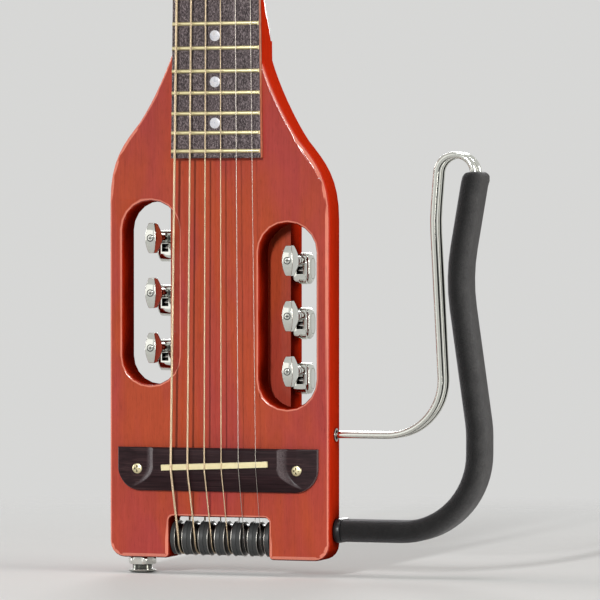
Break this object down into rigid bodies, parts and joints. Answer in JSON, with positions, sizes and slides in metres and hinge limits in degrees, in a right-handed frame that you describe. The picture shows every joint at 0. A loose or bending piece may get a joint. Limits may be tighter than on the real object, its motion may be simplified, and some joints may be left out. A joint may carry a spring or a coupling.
{
  "type": "travel guitar",
  "caption": "Headless travel guitar: slim body with two slots for worm-gear tuners on its spine, string rollers in the tail, and a pull-out bent-rod lap rest with a foam sleeve.",
  "frame": {"origin": "on the flat back of the spine, on the centre line just above the string channel, where a hand or a stand holds the guitar", "axes": "+Z along the neck from the tail to the head, +Y out of the back of the guitar, +X to the right of someone who looks at the front"},
  "size_m": [0.2244, 0.0652, 0.7199],
  "materials": {
    "stained_maple": "satin red-brown stain over maple",
    "rosewood": "dark open-pored wood",
    "bone": "polished ivory colour",
    "chrome": "polished",
    "steel": "satin",
    "brass": "satin",
    "bronze_wound": "wound wire",
    "black_plastic": "satin",
    "foam": "closed-cell foam",
    "black_rubber": "glossy"
  },
  "bodies": {
    "guitar": {"body_and_neck": "stained_maple", "tuner_spine": "stained_maple", "fingerboard": "rosewood", "nut": "bone", "string_anchor": "steel", "truss_rod": "steel", "bridge": "rosewood", "saddle": "bone", "pickup_strip": "brass", "roller_axle": "steel", "output_jack": "chrome", "jack_nut": "chrome", "lap_rest_bush": "steel", "strap_button": "chrome", "strap_button_screw": "steel", "bridge_screw_left": "brass", "bridge_screw_right": "brass", "anchor_screw_left": "steel", "anchor_screw_right": "steel", "string_1": "steel", "string_2": "steel", "string_3": "bronze_wound", "string_4": "bronze_wound", "string_5": "bronze_wound", "string_6": "bronze_wound", "tuner_housing_left_1": "chrome", "tuner_housing_left_2": "chrome", "tuner_housing_left_3": "chrome", "tuner_housing_right_1": "chrome", "tuner_housing_right_2": "chrome", "tuner_housing_right_3": "chrome", "tuner_cover_left_1": "chrome", "tuner_cover_left_2": "chrome", "tuner_cover_left_3": "chrome", "tuner_cover_right_1": "chrome", "tuner_cover_right_2": "chrome", "tuner_cover_right_3": "chrome"},
    "lap_rest": {"lap_rest_rod": "chrome", "lap_rest_sleeve": "foam", "lap_rest_foot": "black_rubber"},
    "roller_body_1": {"roller_1": "black_plastic"},
    "roller_body_2": {"roller_2": "black_plastic"},
    "roller_body_3": {"roller_3": "black_plastic"},
    "roller_body_4": {"roller_4": "black_plastic"},
    "roller_body_5": {"roller_5": "black_plastic"},
    "roller_body_6": {"roller_6": "black_plastic"},
    "knob_left_1": {"tuner_knob_left_1": "chrome"},
    "knob_left_2": {"tuner_knob_left_2": "chrome"},
    "knob_left_3": {"tuner_knob_left_3": "chrome"},
    "knob_right_1": {"tuner_knob_right_1": "chrome"},
    "knob_right_2": {"tuner_knob_right_2": "chrome"},
    "knob_right_3": {"tuner_knob_right_3": "chrome"},
    "post_left_1": {"tuner_post_left_1": "steel"},
    "post_left_2": {"tuner_post_left_2": "steel"},
    "post_left_3": {"tuner_post_left_3": "steel"},
    "post_right_1": {"tuner_post_right_1": "steel"},
    "post_right_2": {"tuner_post_right_2": "steel"},
    "post_right_3": {"tuner_post_right_3": "steel"}
  },
  "joints": [
    {"name": "lap_rest_slide", "type": "slide", "parent": "guitar", "child": "lap_rest", "axis": [1, 0, 0], "range_m": [0, 0.026]},
    {"name": "roller_spin_1", "type": "hinge", "parent": "guitar", "child": "roller_body_1", "pos_m": [0.025, -0.0327, -0.1847], "axis": [1, 0, 0], "continuous": true},
    {"name": "roller_spin_2", "type": "hinge", "parent": "guitar", "child": "roller_body_2", "pos_m": [0.015, -0.0327, -0.1847], "axis": [1, 0, 0], "continuous": true},
    {"name": "roller_spin_3", "type": "hinge", "parent": "guitar", "child": "roller_body_3", "pos_m": [0.005, -0.0327, -0.1847], "axis": [1, 0, 0], "continuous": true},
    {"name": "roller_spin_4", "type": "hinge", "parent": "guitar", "child": "roller_body_4", "pos_m": [-0.005, -0.0327, -0.1847], "axis": [1, 0, 0], "continuous": true},
    {"name": "roller_spin_5", "type": "hinge", "parent": "guitar", "child": "roller_body_5", "pos_m": [-0.015, -0.0327, -0.1847], "axis": [1, 0, 0], "continuous": true},
    {"name": "roller_spin_6", "type": "hinge", "parent": "guitar", "child": "roller_body_6", "pos_m": [-0.025, -0.0327, -0.1847], "axis": [1, 0, 0], "continuous": true},
    {"name": "knob_turn_left_1", "type": "hinge", "parent": "guitar", "child": "knob_left_1", "pos_m": [-0.0417, -0.04, -0.0114], "axis": [0, 1, 0], "continuous": true},
    {"name": "knob_turn_left_2", "type": "hinge", "parent": "guitar", "child": "knob_left_2", "pos_m": [-0.0417, -0.04, -0.04315], "axis": [0, 1, 0], "continuous": true},
    {"name": "knob_turn_left_3", "type": "hinge", "parent": "guitar", "child": "knob_left_3", "pos_m": [-0.0417, -0.04, -0.0749], "axis": [0, 1, 0], "continuous": true},
    {"name": "knob_turn_right_1", "type": "hinge", "parent": "guitar", "child": "knob_right_1", "pos_m": [0.0417, -0.04, -0.0244], "axis": [0, 1, 0], "continuous": true},
    {"name": "knob_turn_right_2", "type": "hinge", "parent": "guitar", "child": "knob_right_2", "pos_m": [0.0417, -0.04, -0.05615], "axis": [0, 1, 0], "continuous": true},
    {"name": "knob_turn_right_3", "type": "hinge", "parent": "guitar", "child": "knob_right_3", "pos_m": [0.0417, -0.04, -0.0879], "axis": [0, 1, 0], "continuous": true},
    {"name": "post_turn_left_1", "type": "hinge", "parent": "guitar", "child": "post_left_1", "pos_m": [-0.025, -0.0125, -0.018], "axis": [1, 0, 0], "continuous": true},
    {"name": "post_turn_left_2", "type": "hinge", "parent": "guitar", "child": "post_left_2", "pos_m": [-0.025, -0.0125, -0.04975], "axis": [1, 0, 0], "continuous": true},
    {"name": "post_turn_left_3", "type": "hinge", "parent": "guitar", "child": "post_left_3", "pos_m": [-0.025, -0.0125, -0.0815], "axis": [1, 0, 0], "continuous": true},
    {"name": "post_turn_right_1", "type": "hinge", "parent": "guitar", "child": "post_right_1", "pos_m": [0.025, -0.0125, -0.031], "axis": [1, 0, 0], "continuous": true},
    {"name": "post_turn_right_2", "type": "hinge", "parent": "guitar", "child": "post_right_2", "pos_m": [0.025, -0.0125, -0.06275], "axis": [1, 0, 0], "continuous": true},
    {"name": "post_turn_right_3", "type": "hinge", "parent": "guitar", "child": "post_right_3", "pos_m": [0.025, -0.0125, -0.0945], "axis": [1, 0, 0], "continuous": true}
  ],
  "couplings": [
    {"joint": "post_turn_left_1", "follows": "knob_turn_left_1", "ratio": 0.071429},
    {"joint": "post_turn_left_2", "follows": "knob_turn_left_2", "ratio": 0.071429},
    {"joint": "post_turn_left_3", "follows": "knob_turn_left_3", "ratio": 0.071429},
    {"joint": "post_turn_right_1", "follows": "knob_turn_right_1", "ratio": 0.071429},
    {"joint": "post_turn_right_2", "follows": "knob_turn_right_2", "ratio": 0.071429},
    {"joint": "post_turn_right_3", "follows": "knob_turn_right_3", "ratio": 0.071429}
  ]
}
